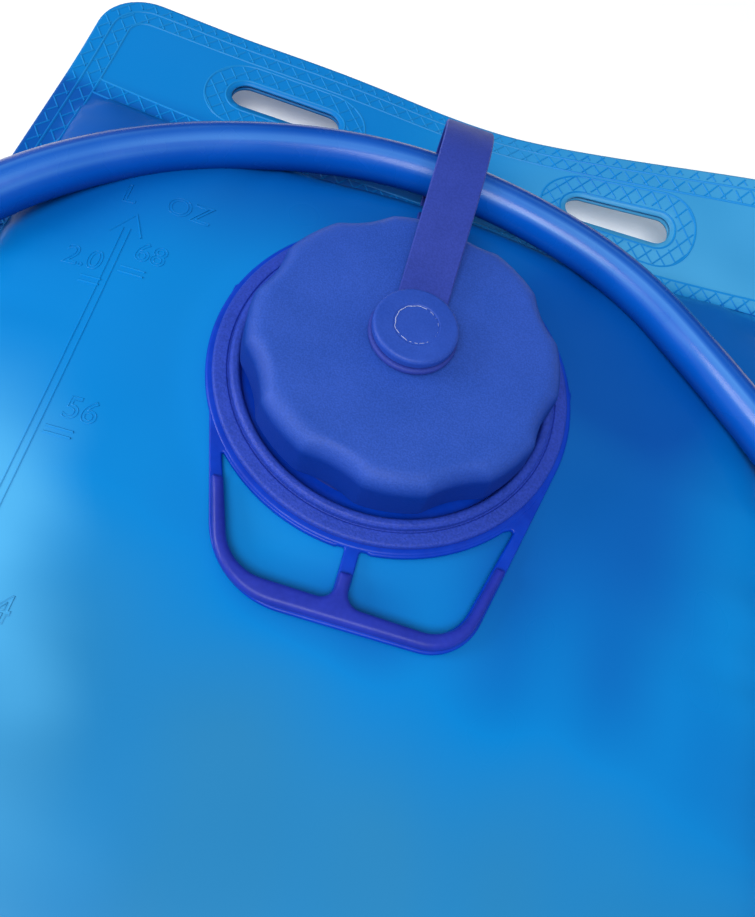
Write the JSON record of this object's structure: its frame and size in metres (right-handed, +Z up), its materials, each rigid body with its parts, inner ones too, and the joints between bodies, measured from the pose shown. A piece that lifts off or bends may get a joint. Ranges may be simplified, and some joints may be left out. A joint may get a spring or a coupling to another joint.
{
  "type": "hydration bladder",
  "caption": "Flexible water bladder with welded film bag, screw cap on a tethered neck, fill handle, hanging slots, outlet connector, drinking tube and bite valve.",
  "frame": {"origin": "on the resting surface under the middle of the bag", "axes": "+Y along the bag towards the header, +X across it, +Z up from the back film towards the cap"},
  "size_m": [0.2482, 0.3722, 0.0405],
  "materials": {
    "film": "translucent welded film, glossy",
    "clear_blue": "translucent moulded plastic, glossy",
    "matte_blue": "fine matte texture",
    "cap_blue": "fine matte texture",
    "seal": "soft silicone",
    "spring_steel": "bright wire",
    "tube": "translucent flexible hose, glossy",
    "bite_silicone": "soft translucent silicone",
    "clear_cover": "clear hood"
  },
  "bodies": {
    "root": {"weld_margin": "film", "front_film": "film", "back_film": "film", "neck_spout": "clear_blue", "handle_ring": "clear_blue", "neck_collar": "matte_blue", "tether": "matte_blue", "outlet_port": "clear_blue", "port_oring": "seal", "connector_body": "matte_blue", "release_spring": "spring_steel", "drinking_tube": "tube", "valve_body": "matte_blue", "mouthpiece": "bite_silicone"},
    "handle": {"handle_grip": "clear_blue"},
    "swivel": {"tether_rivet": "matte_blue"},
    "cap": {"cap": "cap_blue", "cap_gasket": "seal"},
    "button": {"release_button": "cap_blue"},
    "lever": {"shutoff_lever": "cap_blue"},
    "cover": {"dust_cover": "clear_cover"}
  },
  "joints": [
    {"name": "cap_rise", "type": "slide", "parent": "root", "child": "swivel", "axis": [0, 0, 1], "range_m": [0, 0.0161], "deforming": ["tether"]},
    {"name": "cap_turn", "type": "hinge", "parent": "swivel", "child": "cap", "pos_m": [0, 0.076, 0.0283], "axis": [0, 0, 1], "range_deg": [0, 720]},
    {"name": "handle_lift", "type": "hinge", "parent": "root", "child": "handle", "pos_m": [0, 0.041, 0.0184], "axis": [-1, 0, 0], "range_deg": [0, 75]},
    {"name": "button_press", "type": "slide", "parent": "root", "child": "button", "axis": [1, 0, 0], "range_m": [0, 0.002], "stiffness_N_per_m": 400, "springref_m": -0.001, "deforming": ["release_spring"]},
    {"name": "lever_turn", "type": "hinge", "parent": "root", "child": "lever", "pos_m": [0.079, -0.196, 0.0114], "axis": [0, 0, 1], "range_deg": [0, 90]},
    {"name": "cover_pull", "type": "slide", "parent": "root", "child": "cover", "axis": [1, 0, 0], "range_m": [0, 0.03]}
  ],
  "couplings": [
    {"joint": "cap_rise", "follows": "cap_turn", "m_per_rad": 0.0012732}
  ]
}
